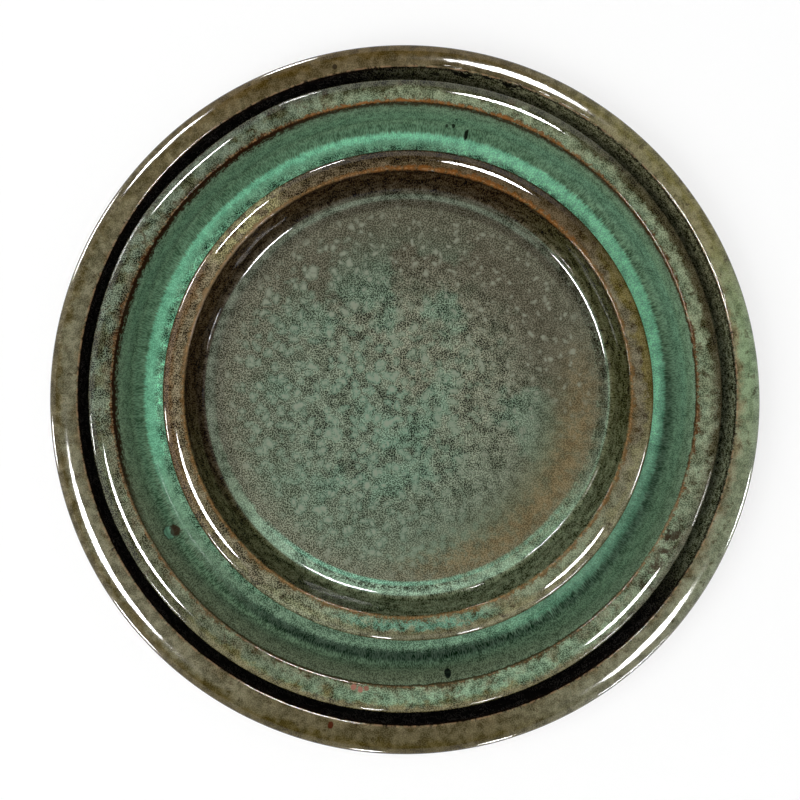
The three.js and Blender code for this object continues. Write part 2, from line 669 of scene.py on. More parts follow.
class Paint:
    """The nodes of one material, or of the surroundings."""

    def __init__(self, owner):
        owner.use_nodes = True
        self.owner = owner
        self.tree = owner.node_tree
        self.tree.nodes.clear()

    def node(self, kind, settings=None, inputs=None, output=0):
        """Add a node, set it up, feed its sockets, and return one of its outputs."""
        made = self.tree.nodes.new(kind)
        for key, value in (settings or {}).items():
            setattr(made, key, value)
        for key, value in (inputs or {}).items():
            socket = made.inputs[key]
            if isinstance(value, Wire):
                self.tree.links.new(value.socket, socket)
            else:
                socket.default_value = (*value, 1) if socket.type == "RGBA" else value
        return Wire(self, made.outputs[output])

    def surface(self, shader, kind="ShaderNodeOutputMaterial"):
        """Make a shader the owner's surface."""
        end = self.tree.nodes.new(kind)
        self.tree.links.new(shader.socket, end.inputs["Surface"])

    def math(self, operation, first, second):
        """Sums on numbers."""
        return self.node("ShaderNodeMath", {"operation": operation}, {0: first, 1: second})

    def vector(self, operation, first, second, output=0):
        """Sums on vectors and colours."""
        settings = {"operation": operation}
        return self.node("ShaderNodeVectorMath", settings, {0: first, 1: second}, output)

    def mix(self, share, first, second):
        """The first colour where the share is 0, and the second where it is 1."""
        return self.node("ShaderNodeMix", {"data_type": "RGBA"}, {0: share, 6: first, 7: second}, 2)

    def smooth(self, value, low, high):
        """A soft step from 0 at low to 1 at high, which may be the smaller."""
        settings = {"interpolation_type": "SMOOTHSTEP"}
        inputs = {"Value": value, "From Min": low, "From Max": high}
        return self.node("ShaderNodeMapRange", settings, inputs)

    def noise(self, where, size, detail, rough, seed, output=0):
        """Cloudy noise round 0.5, with lumps of the given size. Output 1 is three of them, as a vector."""
        moved = self.vector("ADD", where, (0.31 * seed, 0.17 * seed, 0.23 * seed))
        inputs = {"Vector": moved, "Scale": 1 / size, "Detail": detail, "Roughness": rough}
        return self.node("ShaderNodeTexNoise", {}, inputs, output)

    def cells(self, where, size, seed):
        """How far each point is from the middle of its cell, for random upright cells of the given size."""
        moved = self.vector("ADD", where, (0.37 * seed, 0.19 * seed, 0.29 * seed))
        settings = {"voronoi_dimensions": "2D"}
        return self.node("ShaderNodeTexVoronoi", settings, {"Vector": moved, "Scale": 1 / size})

    def seen(self):
        """1 for what the camera sees, straight, in a gloss or through glass, and 0 for other light."""
        rays = ("Is Camera Ray", "Is Glossy Ray", "Is Transmission Ray")
        camera, glossy, through = (self.node("ShaderNodeLightPath", output=ray) for ray in rays)
        return self.math("MAXIMUM", self.math("MAXIMUM", camera, glossy), through)


# Noises that break up the colours: size in millimetres, detail and roughness.
CLOUDS = {
    "grain": (1.25, 1, 0.6),
    "crumb": (2.4, 3, 0.6),
    "mottle": (5, 3, 0.7),
    "patch": (11, 4, 0.62),
    "cloud": (34, 3, 0.6),
}

# Noises drawn out down the wall, as the glaze ran: width in millimetres, width over length, and detail.
RUNS = {"streak": (0.9, 0.26, 1), "run": (3.2, 0.24, 3)}
STROKES = (0.55, 0.28, 0)
RUN_ROUGHNESS = 0.6

# How far each kind of edge wanders with which noise, in millimetres from side to side.
EDGES = {
    "plain": {},
    "frayed": {"grain": 3, "mottle": 6},
    "run": {"streak": 5, "run": 7},
    "drift": {"patch": 16, "grain": 3, "mottle": 6},
    "teeth": {"streak": 4},
}

# Where a spot fades out, as shares of its own size.
SPOT_RIM = (1.15, 0.8)

# The crystals, the dots and the brush marks.
CRYSTAL_SIZE = 6 * MM
CRYSTAL_WARP = (6 * MM, 6 * MM, 0)
CRYSTAL_WARP_SIZE = 7 * MM
DOT_SIZE = 0.78 * MM
MOTTLING_SIZE = 6 * MM
BRUSH_WIDTH = 0.9 * MM
BRUSH_STRETCH = (0.07, 0.07, 1)


class Skin:
    """Where each point of a saucer lies, and the noises that break up its colours."""

    def __init__(self, paint, section, seed):
        self.paint = paint
        self.mouth = section.mouth
        centre = section.centre + section.drift
        place = paint.node("ShaderNodeTexCoord", output="Object")
        station = paint.node("ShaderNodeAttribute", {"attribute_name": "station"}, output="Fac")
        level = paint.vector("MULTIPLY", paint.vector("SUBTRACT", place, centre), (1, 1, 0))
        self.bearing = paint.node("ShaderNodeVectorMath", {"operation": "NORMALIZE"}, {0: level})
        ring = {0: self.bearing, "Scale": self.mouth}
        ring = paint.node("ShaderNodeVectorMath", {"operation": "SCALE"}, ring)
        up = paint.node("ShaderNodeCombineXYZ", inputs={"Z": station})
        self.wrapped = paint.vector("ADD", ring, up)

        self.noises = {}
        for name, (size, detail, rough) in CLOUDS.items():
            seed += 1
            self.noises[name] = paint.noise(place, size * MM, detail, rough, seed)
        for name, drawn in RUNS.items():
            seed += 1
            self.noises[name] = self.drawn_out(*drawn, seed)
        self.swings = self.draw_swings(place, seed)
        self.noises["blob"] = self.draw_crystals(place, seed)
        brushed = paint.vector("MULTIPLY", self.wrapped, BRUSH_STRETCH)
        self.noises["brush"] = paint.noise(brushed, BRUSH_WIDTH, 1, 0.5, seed + 4)

        self.stations = {}
        for edge, wanderings in EDGES.items():
            wandered = station
            for name, reach in wanderings.items():
                wandered = wandered + (self.noises[name] - 0.5) * (reach * MM)
            self.stations[edge] = wandered

    def drawn_out(self, width, share, detail, seed):
        """Noise drawn out down the wall."""
        drawn = self.paint.vector("MULTIPLY", self.wrapped, (1, 1, share))
        return self.paint.noise(drawn, width * MM, detail, RUN_ROUGHNESS, seed)

    def draw_swings(self, place, seed):
        """The fine dots, the strokes and the soft mottling of the grain, each from -0.5 to 0.5."""
        paint = self.paint
        dots = paint.cells(place, DOT_SIZE, seed - 7)
        stroke = self.drawn_out(*STROKES, seed + 1)
        soft = paint.noise(place, MOTTLING_SIZE, 1, 0.9, seed + 2)
        swings = {
            "X": paint.smooth(dots, 0.2, 0.62) - 0.5,
            "Y": paint.smooth(stroke, 0.42, 0.58) - 0.5,
            "Z": paint.smooth(soft, 0.32, 0.68) - 0.5,
        }
        return paint.node("ShaderNodeCombineXYZ", inputs=swings)

    def draw_crystals(self, place, seed):
        """Rounded crystals with ragged rims, 1 in their middles."""
        paint = self.paint
        warp = paint.noise(place, CRYSTAL_WARP_SIZE, 1, 0.5, seed + 3, output=1)
        warp = paint.vector("MULTIPLY", paint.vector("SUBTRACT", warp, (0.5, 0.5, 0.5)), CRYSTAL_WARP)
        cells = paint.cells(paint.vector("ADD", place, warp), CRYSTAL_SIZE, seed - 7)
        ragged = (self.noises["crumb"] - 0.5) * 0.5 + (self.noises["patch"] - 0.5) * 0.9
        return 1.0 - cells + ragged

    def sector(self, bearing, spread, fade):
        """1 within spread degrees of a bearing, fading to 0 round the ends."""
        angle = math.radians(bearing)
        way = (math.cos(angle), math.sin(angle), 0)
        toward = self.paint.vector("DOT_PRODUCT", self.bearing, way, "Value")
        outer = math.cos(math.radians(min(spread + fade, 180)))
        inner = math.cos(math.radians(max(spread - fade, 0)))
        return self.paint.smooth(toward, outer, inner)

    def mask(self, coat):
        """Where a coat shows, from 0 to 1."""
        paint = self.paint
        share = coat.strength
        if coat.broken:
            name, low, high = coat.broken
            share = paint.smooth(self.noises[name], low, high) * share
        station = self.stations[coat.edge]
        if coat.start is not None:
            low, high = coat.start - coat.soft, coat.start + coat.soft
            share = paint.smooth(station, low * MM, high * MM) * share
        if coat.end is not None:
            low, high = coat.end - coat.soft, coat.end + coat.soft
            share = paint.smooth(station, high * MM, low * MM) * share
        if coat.toward:
            share = self.sector(*coat.toward) * share
        return share

    def spot(self, spot):
        """Where a spot shows, from 0 to 1."""
        angle = math.radians(spot.bearing)
        middle = (self.mouth * math.cos(angle), self.mouth * math.sin(angle), spot.station * MM)
        away = self.paint.vector("SUBTRACT", self.wrapped, middle)
        size = (spot.wide * MM / 2, spot.wide * MM / 2, spot.high * MM / 2)
        away = self.paint.vector("DIVIDE", away, size)
        far = self.paint.node("ShaderNodeVectorMath", {"operation": "LENGTH"}, {0: away}, "Value")
        far = far + (self.noises["crumb"] - 0.5) * spot.ragged
        return self.paint.smooth(far, *SPOT_RIM) * spot.strength


class Coat(NamedTuple):
    """One colour of a glaze, from one station to another, in millimetres.

    The colour is #rrggbb or the name of one of the saucer's settings. Broken names the noise that breaks
    it up, and where that noise begins and is full. Toward is the bearing it lies at, how far it spreads to
    each side and over how much it fades, in degrees.
    """

    colour: object
    strength: float = 1.0
    start: float = None
    end: float = None
    soft: float = 1.0
    edge: str = "frayed"
    broken: tuple = None
    toward: tuple = None


class Spot(NamedTuple):
    """A fleck or flaw in the glaze, with its size in millimetres."""

    colour: str
    bearing: float
    station: float
    high: float
    wide: float
    strength: float
    ragged: float


class Recipe(NamedTuple):
    """How one saucer's glaze lies.

    The coats come first. The grains are coats whose colour is how far fine dots, strokes and mottling
    swing what is below. Veils and spots lie over them, and shine says how much each part mirrors.
    """

    coats: list
    grains: list
    veils: list
    spots: list
    shine: list


CLAY = tone("#967e64")
CLAY_DARK = tone("#765e48")
OUTSIDE_GRAIN = (0.8, 0.4, 0.9)
GRAIN_FLOOR = (0.03, 0.03, 0.03)
DARKEST = (0.003, 0.003, 0.003)
GLAZE_END_SOFT = 0.4
GLAZE_SWELL = 0.1 * MM
CLAY_GRIT = 0.3 * MM


def glaze_saucer(name, section, own, recipe, seed):
    """Make the glaze of one saucer."""
    paint = Paint(bpy.data.materials.new(name))
    skin = Skin(paint, section, seed)
    noises = skin.noises

    def lay(colour, coats):
        for coat in coats:
            chosen = coat.colour
            if isinstance(chosen, str):
                chosen = tone(chosen) if chosen.startswith("#") else tuple(getattr(own, chosen))
            colour = paint.mix(skin.mask(coat), colour, chosen)
        return colour

    outside = paint.smooth(noises["run"], 0.4, 0.62)
    colour = paint.mix(outside, tuple(own.outside), tuple(own.land_second))
    colour = lay(colour, recipe.coats)
    amounts = lay(OUTSIDE_GRAIN, recipe.grains)
    swing = paint.vector("DOT_PRODUCT", amounts, skin.swings, "Value") + 1.0
    factor = paint.node("ShaderNodeCombineXYZ", inputs={axis: swing for axis in "XYZ"})
    colour = paint.vector("MULTIPLY", paint.vector("ADD", colour, GRAIN_FLOOR), factor)
    colour = paint.vector("MAXIMUM", paint.vector("SUBTRACT", colour, GRAIN_FLOOR), DARKEST)
    colour = lay(colour, recipe.veils)
    for spot in recipe.spots:
        colour = paint.mix(skin.spot(spot), colour, tone(spot.colour))

    bare = skin.mask(Coat(CLAY, end=section.glaze_end_station() / MM, soft=GLAZE_END_SOFT))
    clay = paint.mix(paint.smooth(noises["crumb"], 0.4, 0.7), CLAY, CLAY_DARK)
    colour = paint.mix(bare, colour, clay)

    shine = lay((1, 1, 1), recipe.shine)
    shine = paint.vector("DOT_PRODUCT", shine, (1 / 3, 1 / 3, 1 / 3), "Value") * (1.0 - bare)
    relief = (noises["patch"] - 0.5) * GLAZE_SWELL + noises["crumb"] * bare * CLAY_GRIT
    relief = relief + (noises["brush"] - 0.5) * own.brush
    normal = paint.node("ShaderNodeBump", inputs={"Strength": 0.7, "Distance": 1.0, "Height": relief})
    shader = {
        "Base Color": colour,
        "Roughness": 0.6,
        "Specular IOR Level": 0.0,
        "Coat Weight": shine,
        "Coat Roughness": own.soft_shine,
        "Coat IOR": 1.42,
        "Normal": normal,
    }
    paint.surface(paint.node("ShaderNodeBsdfPrincipled", inputs=shader))
    return paint.owner


# The recipes, with stations in millimetres and bearings in degrees

LARGE_RECIPE = Recipe(
    coats=[
        Coat("land", 1, -24, 0.2, 2, "plain"),
        Coat("land_second", 0.9, -24, -7, 3, "drift"),
        Coat("#4a4022", 0.5, -24, -0.5, broken=("patch", 0.38, 0.6)),
        Coat("#7c7458", 0.5, -24, -0.5, broken=("mottle", 0.46, 0.6)),
        Coat("#85805f", 0.85, -9, -0.5, 2, "drift", toward=(18, 34, 22)),
        Coat("#767044", 0.8, -24, -8, 2, "drift", toward=(30, 26, 16)),
        Coat("#7c9270", 0.9, -20, -4, 2.5, "drift", toward=(352, 24, 14)),
        Coat("#564622", 0.9, -24, -7, 3, "drift", toward=(102, 26, 16)),
        Coat("#5e5238", 0.7, -8, -0.5, 2, "drift", toward=(98, 20, 16)),
        Coat("#4c421e", 0.8, -24, -7, 2, "drift", toward=(262, 32, 16)),
        Coat("#544d34", 0.7, -8, -0.5, 2, "drift", toward=(270, 22, 16)),
        Coat("#74745e", 0.6, -8, -0.5, 2, "drift", toward=(195, 40, 20)),
        Coat("#7c7e68", 0.7, -16, -0.5, 2, "drift", toward=(325, 24, 18)),
        Coat("#3c321a", 0.6, -14, -0.5, broken=("mottle", 0.58, 0.66)),
        # Painted shade: the wall in the deep gap is near black. Painted light: the lighter coats toward 30
        # and 352 degrees, on the side the key lamp reaches.
        Coat("wall_glaze", 1, 0, None, 0.4, "plain"),
        Coat("#8a8a6a", 0.9, 0, toward=(30, 52, 20)),
        Coat("#889276", 0.7, 0, toward=(352, 18, 12)),
        Coat("wall_streak", 0.8, 0.5, 34, broken=("crumb", 0.52, 0.44), toward=(30, 62, 14)),
        Coat("pool", 1, 36, 50, 2, "run"),
        Coat("floor_glaze", 1, 46, soft=3),
        Coat("#2c3024", 0.5, 44, soft=3, broken=("mottle", 0.56, 0.42)),
    ],
    grains=[
        Coat((0.36, 0, 0.5), 1, -24, 0, 0.3, "plain"),
        Coat((0, 0.9, 0.6), 1, 0, 40, 1, "plain"),
        Coat((1.15, 0, 0.7), 1, 46, None, 3, "plain"),
    ],
    veils=[
        Coat("fringe", 0.8, 0.1, 2.4, 0.8, "run"),
        # Pale line on the inner edge: partly the glaze's break, partly a painted highlight.
        Coat("rust", 0.6, -0.8, 0.3, 0.4, "plain", broken=("crumb", 0.42, 0.58)),
    ],
    spots=[
        Spot("#461a08", 256.9, -2.9, 2.4, 2.8, 0.95, 0.6),
        Spot("#261e14", 102.4, -5.4, 2.8, 2.6, 0.85, 0.8),
        Spot("#2c2418", 89, -2.4, 1.6, 5, 0.7, 1.6),
        Spot("#2c2418", 91.8, -2.2, 1.4, 3.6, 0.7, 1.6),
        Spot("#060604", 80.3, 5, 7, 11, 0.95, 4),
        Spot("#060604", 71.8, 4.5, 6, 10, 0.95, 4),
        Spot("#080806", 76, 2.5, 3, 4, 0.9, 2),
        Spot("#080806", 85, 9, 5, 5, 0.8, 3),
    ],
    shine=[
        Coat("#969696", 1, 1, 38, 2),
    ],
)

MEDIUM_RECIPE = Recipe(
    coats=[
        Coat("land", 1, -20, 0.2, 2, "plain"),
        Coat("land_second", 0.95, -24, -6.4, 1.6, "drift"),
        Coat("#70886e", 0.6, -6.5, -1.2, 1.5, broken=("patch", 0.36, 0.58)),
        Coat("#403a24", 0.9, -20, -7, 4, "drift", toward=(17, 28, 20)),
        Coat("#2c2c1e", 0.5, -20, -9.4, 2, "drift", toward=(132, 74, 20)),
        Coat("#6c643e", 0.8, -20, -7, 2.5, "drift", toward=(268, 34, 20)),
        Coat("#7a987c", 0.75, -9, -1.2, 2, broken=("patch", 0.36, 0.58), toward=(285, 42, 22)),
        Coat("#828a72", 0.5, -10, -0.5, 1.5, "drift", toward=(332, 26, 14)),
        Coat("#3a2e20", 0.75, -8.5, -2, 2, broken=("mottle", 0.45, 0.56), toward=(327, 8, 4)),
        Coat("#7e886c", 0.7, -7, -2, 1.5, "drift", toward=(50, 55, 25)),
        Coat("#4c4a38", 0.85, -6, -0.5, 2, "drift", toward=(164, 48, 20)),
        Coat("#545644", 0.7, -7, -0.5, 2, "drift", toward=(222, 26, 16)),
        Coat("#687664", 0.75, -12, -3, 2, broken=("patch", 0.4, 0.54), toward=(148, 38, 20)),
        Coat("#403622", 0.7, -14, -0.5, broken=("mottle", 0.56, 0.66)),
        Coat("wall_glaze", 1, 0, None, 0.4, "plain"),
        Coat("wall_streak", 0.7, 11, None, 9, "plain"),
        # Painted light: the lower wall is made lighter from station 16 to 29, against the shade that falls
        # low on it.
        Coat("#7aa080", 0.55, 16, 28, 4, "plain"),
        Coat("#7c9c80", 0.5, 18, 29, 3, "plain", toward=(180, 62, 20)),
        Coat("#5c7056", 0.55, 2, 22, 8, "plain", toward=(316, 34, 16)),
        Coat("#7ca68c", 0.45, 16, 32, 4, "plain", toward=(30, 34, 20)),
        Coat("#8e8c70", 0.55, 0, 26, 9, "plain", toward=(236, 52, 30)),
        # Painted shade: the cove is made darker from station 29.5, against the light that its flatter slope
        # catches.
        Coat("#54765c", 0.75, 30.5, None, 2.5, "plain", toward=(142, 82, 20)),
        Coat("#405846", 0.8, 29.5, None, 4, "plain", toward=(312, 50, 24)),
        Coat("#222e24", 0.8, 31.4, 38.5, 3, "run", broken=("streak", 0.62, 0.4), toward=(276, 38, 14)),
        Coat("#344a3a", 0.6, 33, 37, 2, "run", broken=("streak", 0.56, 0.4), toward=(5, 50, 14)),
        Coat("pool", 1, 37.2, edge="teeth"),
        # The pooled glaze toward 20 degrees is painted very light: partly its own colour, partly painted
        # light against the shade beside the small saucer's lip.
        Coat("#aefcd2", 0.95, 38.5, soft=3, toward=(20, 56, 24)),
        Coat("#8ed8ae", 0.55, 36.3, edge="teeth", toward=(38, 26, 14)),
        Coat("#86d0a8", 0.55, 36.3, 40, 1, "teeth", toward=(86, 24, 12)),
        Coat("#6a9074", 0.6, 40.2, toward=(112, 32, 16)),
        Coat("#80967c", 0.5, 36, None, 2, "run", toward=(212, 12, 8)),
        Coat("#6c7e68", 0.85, 36, None, 2, "run", toward=(254, 38, 22)),
        Coat("#4c6450", 0.5, 35.5, 40, 2, "run", toward=(273, 14, 10)),
        Coat("#729e82", 0.6, 36, None, 2, "run", toward=(322, 22, 14)),
        Coat("#82ac8e", 0.4, 39.6, toward=(306, 40, 16)),
        Coat("#2e3e32", 0.85, 33.4, 38.8, 1.2, "teeth", toward=(260, 30, 14)),
        Coat("#3a4c3e", 0.5, 33, 39.5, 1.4, "teeth", toward=(334, 28, 16)),
        Coat("floor_glaze", 0.85, 43, soft=2, broken=("mottle", 0.4, 0.54), toward=(140, 100, 14)),
    ],
    grains=[
        Coat((0.68, 0, 0.6), 1, -24, 0, 0.3, "plain"),
        Coat((1.08, 0, 0.7), 1, -24, 0, 0.3, "plain", toward=(175, 30, 20)),
        Coat((0, 0.5, 0.35), 1, 0, edge="plain"),
        Coat((0, 0.7, 0.35), 1, 0, 37, 1, "plain", toward=(250, 50, 20)),
        Coat((0.36, 0.15, 0.3), 1, 37, None, 1.5, "plain"),
        Coat((0.79, 0, 0.5), 1, 37, None, 1.5, "plain", toward=(262, 36, 16)),
        Coat((1.01, 0, 0.8), 1, 43, None, 1.5, "plain", toward=(140, 100, 14)),
    ],
    veils=[
        Coat("rust", 0.6, -0.6, 1.6, 0.6),
        Coat("rust", 0.6, -1.1, 0.8, 0.7, broken=("crumb", 0.36, 0.54), toward=(45, 70, 12)),
        Coat("rust", 0.3, -1, 0.8, 0.6, broken=("crumb", 0.34, 0.54), toward=(186, 30, 12)),
        Coat("#74461c", 0.8, -1.2, 0.8, broken=("crumb", 0.42, 0.56), toward=(70, 12, 14)),
        Coat("#545236", 0.6, 1, 7.4, 2.4, "run", toward=(140, 108, 30)),
        Coat("#7c5228", 0.8, -0.5, 1.8, 0.6, broken=("crumb", 0.34, 0.5), toward=(80, 42, 14)),
        Coat("#92602e", 0.7, -0.4, 2, 0.5, broken=("crumb", 0.36, 0.5), toward=(100, 26, 12)),
        Coat("fringe", 0.75, 0.9, 2.6, 0.9, "teeth", toward=(140, 120, 14)),
        Coat("fringe", 0.8, 1.8, 5, 1, "run", toward=(88, 52, 20)),
        Coat("#301a0c", 1, -0.5, 4.6, 1.2, "run", toward=(154, 44, 12)),
        Coat("#341e0e", 0.95, 0, 9, 2.4, "run", broken=("crumb", 0.45, 0.53), toward=(154, 44, 12)),
        Coat("#3c3621", 0.85, -1, 2.2, 0.6, toward=(274, 44, 14)),
        Coat("#442d18", 0.9, -1, 2.5, 0.7, broken=("crumb", 0.36, 0.5), toward=(16, 32, 10)),
        # Painted highlight: a thin pale glinting line along the inner edge.
        Coat("#967854", 0.6, -0.8, 0, 0.3, "plain", broken=("grain", 0.5, 0.6)),
    ],
    spots=[
        Spot("#040604", 278.8, 14.2, 15, 3.8, 1, 0.4),
        Spot("#10120c", 76.6, 33.6, 7, 2.2, 0.95, 1.2),
        Spot("#141810", 79.6, 29, 4.4, 2, 0.9, 0.8),
        Spot("#141810", 81, 30, 3.4, 1.6, 0.8, 0.8),
        Spot("#141810", 79.2, 20, 3, 1.6, 0.8, 0.8),
        Spot("#9e6256", 260.2, -2.2, 2.4, 2.8, 0.85, 1.6),
        Spot("#9e6256", 261.5, -2.9, 2.4, 2.8, 0.85, 1.6),
        Spot("#8c5648", 262.6, -2, 1.8, 2.4, 0.85, 1.6),
        Spot("#322419", 332, -5.6, 6, 7, 0.8, 4.5),
        Spot("#3a2d20", 328.8, -4.6, 3.6, 4, 0.7, 4),
        Spot("#3a2d20", 325.4, -5.4, 4, 5, 0.7, 4.5),
        Spot("#2e2c20", 210.5, 26.4, 13.4, 8.2, 0.9, 0.9),
        # The pit's teal bowl is painted lighter: partly its own colour, partly painted light against the
        # shade on the pit's sunken face.
        Spot("#8ec8a8", 210.6, 27.2, 11.5, 7, 0.95, 0.7),
        Spot("#3c261a", 210.9, 33.2, 6, 8, 0.9, 1.6),
    ],
    shine=[
        Coat("#aaaaaa", 1, 1, 38, 2),
        Coat("#505050", 1, 27, 37.5, 2.5, "plain"),
        Coat("#6e6e6e", 1, -1.2, 3, 0.5, "plain"),
        Coat("#6e6e6e", 1, -24, -8.6, 0.8, "plain", toward=(14, 34, 10)),
        Coat("#505050", 1, -0.8, 7, 1, "run", toward=(157, 42, 12)),
        Coat("#bebebe", 0.9, -1.3, 0.7, 0.3, broken=("grain", 0.42, 0.52), toward=(42, 10, 6)),
        Coat("#f0f0f0", 1, -1.3, 0.7, 0.3, "plain", toward=(322, 24, 6)),
        Coat("#f0f0f0", 1, -1.3, 0.7, 0.3, broken=("grain", 0.42, 0.5), toward=(240, 20, 6)),
    ],
)

SMALL_RECIPE = Recipe(
    coats=[
        Coat("land", 1, -20, 0.2, 2, "plain"),
        Coat("land_second", 0.5, -20, -0.5, broken=("patch", 0.4, 0.58)),
        Coat("#706c5a", 0.6, -7, -1.4, 1.5, "drift"),
        Coat("#625824", 0.7, -20, -6, 2, "drift", toward=(14, 22, 14)),
        Coat("#342810", 0.9, -20, -5.5, 2, "drift", toward=(78, 40, 16)),
        Coat("#50422a", 0.6, -7, -0.5, 2, "drift", toward=(62, 20, 12)),
        Coat("#544630", 0.8, -6, -0.5, 2, "drift", toward=(85, 44, 18)),
        Coat("#7c886e", 0.85, -6, -0.5, 2, broken=("patch", 0.3, 0.5), toward=(284, 42, 20)),
        Coat("#64664a", 0.8, -20, -6, 2, "drift", toward=(232, 46, 20)),
        Coat("#7c7a5a", 0.8, -20, -5, 2, "drift", toward=(318, 30, 16)),
        Coat("#588670", 0.8, -6, -1.6, broken=("mottle", 0.38, 0.52), toward=(272, 17, 8)),
        Coat("#766c54", 0.7, -12, -1, 2, "drift", toward=(172, 28, 16)),
        Coat("#543c1e", 0.75, -20, -6, 2, "drift", toward=(174, 40, 18)),
        Coat("#908c62", 0.85, -12, -0.8, broken=("mottle", 0.4, 0.52), toward=(134, 8, 7)),
        Coat("#7c8264", 0.7, -14, -5, broken=("mottle", 0.36, 0.48), toward=(246, 8, 6)),
        Coat("#3c301e", 0.7, -14, -0.5, broken=("mottle", 0.57, 0.66)),
        Coat("wall_glaze", 1, 0, None, 0.4, "plain"),
        Coat("#6c775c", 0.9, 0, 29, toward=(288, 46, 30)),
        Coat("#32301a", 0.5, 0, 9, 5, "run", toward=(165, 100, 30)),
        Coat("#545236", 0.6, 0, 22, 6, toward=(218, 24, 14)),
        Coat("wall_streak", 0.5, 0.5, 28, broken=("mottle", 0.36, 0.64)),
        Coat("#392a14", 0.95, 0.5, 32, 2, toward=(122, 72, 20)),
        Coat("#54442c", 0.6, 3, 26, 3, broken=("crumb", 0.4, 0.56), toward=(142, 18, 10)),
        Coat("pool", 1, 28.3, None, 0.7, "plain"),
        Coat("#322612", 0.95, 20, 28.9, 0.7, "plain", toward=(140, 72, 16)),
        Coat("#626a58", 0.6, 28.6, None, 0.7, "plain", toward=(190, 26, 16)),
        Coat("#94b098", 0.7, 28.4, edge="plain", toward=(258, 34, 14)),
        Coat("#565a4e", 0.9, 28.7, None, 0.8, "plain", toward=(95, 88, 24)),
        Coat("#343022", 0.7, 27, 30, 0.8, "plain", toward=(86, 26, 12)),
        Coat("#748472", 0.9, 30, 32.6, 0.6, "plain", toward=(92, 46, 14)),
        Coat("#707a6a", 0.7, 29.4, 32, 0.7, "plain", toward=(165, 34, 12)),
        Coat("#5a6050", 0.8, 29, 34, 0.8, "plain", toward=(350, 20, 10)),
        Coat("#282c20", 0.95, 29.2, 34, 1, "plain", broken=("grain", 0.6, 0.46), toward=(20, 22, 14)),
        Coat("#3c3e30", 0.5, 28, 31, 2, "plain", toward=(70, 36, 14)),
        Coat("#3a4434", 0.95, 30.4, 33.2, 0.8, broken=("grain", 0.56, 0.46), toward=(262, 22, 14)),
        Coat("floor_glaze", 1, 34, soft=0.8),
        Coat("#78ac92", 0.85, 33.2, 35.4, 0.6, "plain", toward=(278, 46, 14)),
        Coat("#3c3a2f", 0.85, 32.8, 37, 1.2, "plain", toward=(76, 44, 20)),
        Coat("#525448", 0.6, 33.2, 38, 1.4, "plain", toward=(165, 40, 16)),
        Coat("#686044", 0.8, 35.4, 60, 9, "run", toward=(326, 36, 24)),
        Coat("#62705e", 0.7, 44, soft=8, toward=(232, 90, 60)),
        Coat("#605c4e", 0.6, 34, 60, 20, "plain", toward=(160, 34, 24)),
        Coat("#544f41", 0.85, 34, 76, 24, "plain", toward=(70, 66, 36)),
        Coat("#484e3e", 0.5, 60, soft=20, broken=("patch", 0.5, 0.36)),
        Coat("#5c7a66", 0.5, 60, soft=24, broken=("cloud", 0.5, 0.6)),
        Coat("#766648", 0.8, 35.6, 50, 7, "run", broken=("mottle", 0.34, 0.58), toward=(320, 42, 24)),
    ],
    grains=[
        Coat((0.58, 0, 0.5), 1, -24, 0, 0.3, "plain"),
        Coat((1.08, 0, 0.6), 1, -24, 0, 0.3, "plain", toward=(175, 80, 24)),
        Coat((0.36, 0.6, 0.7), 1, 0, None, 0.3, "plain"),
        Coat((0.79, 0, 0.6), 1, 28, None, 0.5, "plain"),
        Coat((1.22, 0, 0.25), 1, 34, edge="plain"),
        Coat((0.58, 0, 0.3), 1, 34, edge="plain", toward=(350, 80, 50)),
        Coat((0.9, 0, 0.2), 1, 34, edge="plain", toward=(80, 50, 20)),
        Coat((1.37, 0, 0.6), 1, 70, None, 20, "plain"),
        Coat((0.5, 0, 0.2), 1, 36, edge="plain", broken=("blob", 0.6, 1)),
    ],
    veils=[
        Coat("#7a9c86", 0.55, 44, soft=8, broken=("blob", 0.48, 1.05), toward=(205, 75, 50)),
        Coat("#749a82", 0.5, 92, soft=20, broken=("blob", 0.48, 1.05)),
        Coat("#929684", 0.75, 38, soft=6, broken=("blob", 0.73, 1.02), toward=(132, 146, 24)),
        Coat("#929684", 0.5, 62, soft=6, broken=("blob", 0.73, 1.02), toward=(318, 34, 24)),
        Coat("rust", 0.8, -1.4, 0.8, 0.8, broken=("crumb", 0.3, 0.52)),
        Coat("#76481c", 0.85, -2, 1.4, broken=("crumb", 0.36, 0.52), toward=(72, 30, 14)),
        Coat("#60462a", 0.6, -0.5, 1.6, 0.7, broken=("crumb", 0.36, 0.52), toward=(138, 34, 14)),
        Coat("fringe", 0.7, 1.6, 4, 1.2, "run", toward=(100, 110, 30)),
        # Painted highlights: a paler stretch of the inner edge toward 148 degrees, and a thin pale glinting
        # line all round the edge.
        Coat("#806c50", 0.8, -1, 1.6, 0.8, toward=(148, 20, 12)),
        Coat("#a07e54", 0.6, -0.8, 0, 0.3, "plain", broken=("grain", 0.48, 0.6)),
    ],
    spots=[],
    shine=[
        Coat("#505050", 1, 1, 28, 2),
        Coat("#828282", 1, -1.2, 1.4, 0.5, "plain"),
        Coat("#464646", 1, 33, 60, 2, "plain"),
        Coat("#6e6e6e", 1, -24, -8.2, 0.8, "plain", toward=(20, 30, 8)),
    ],
)

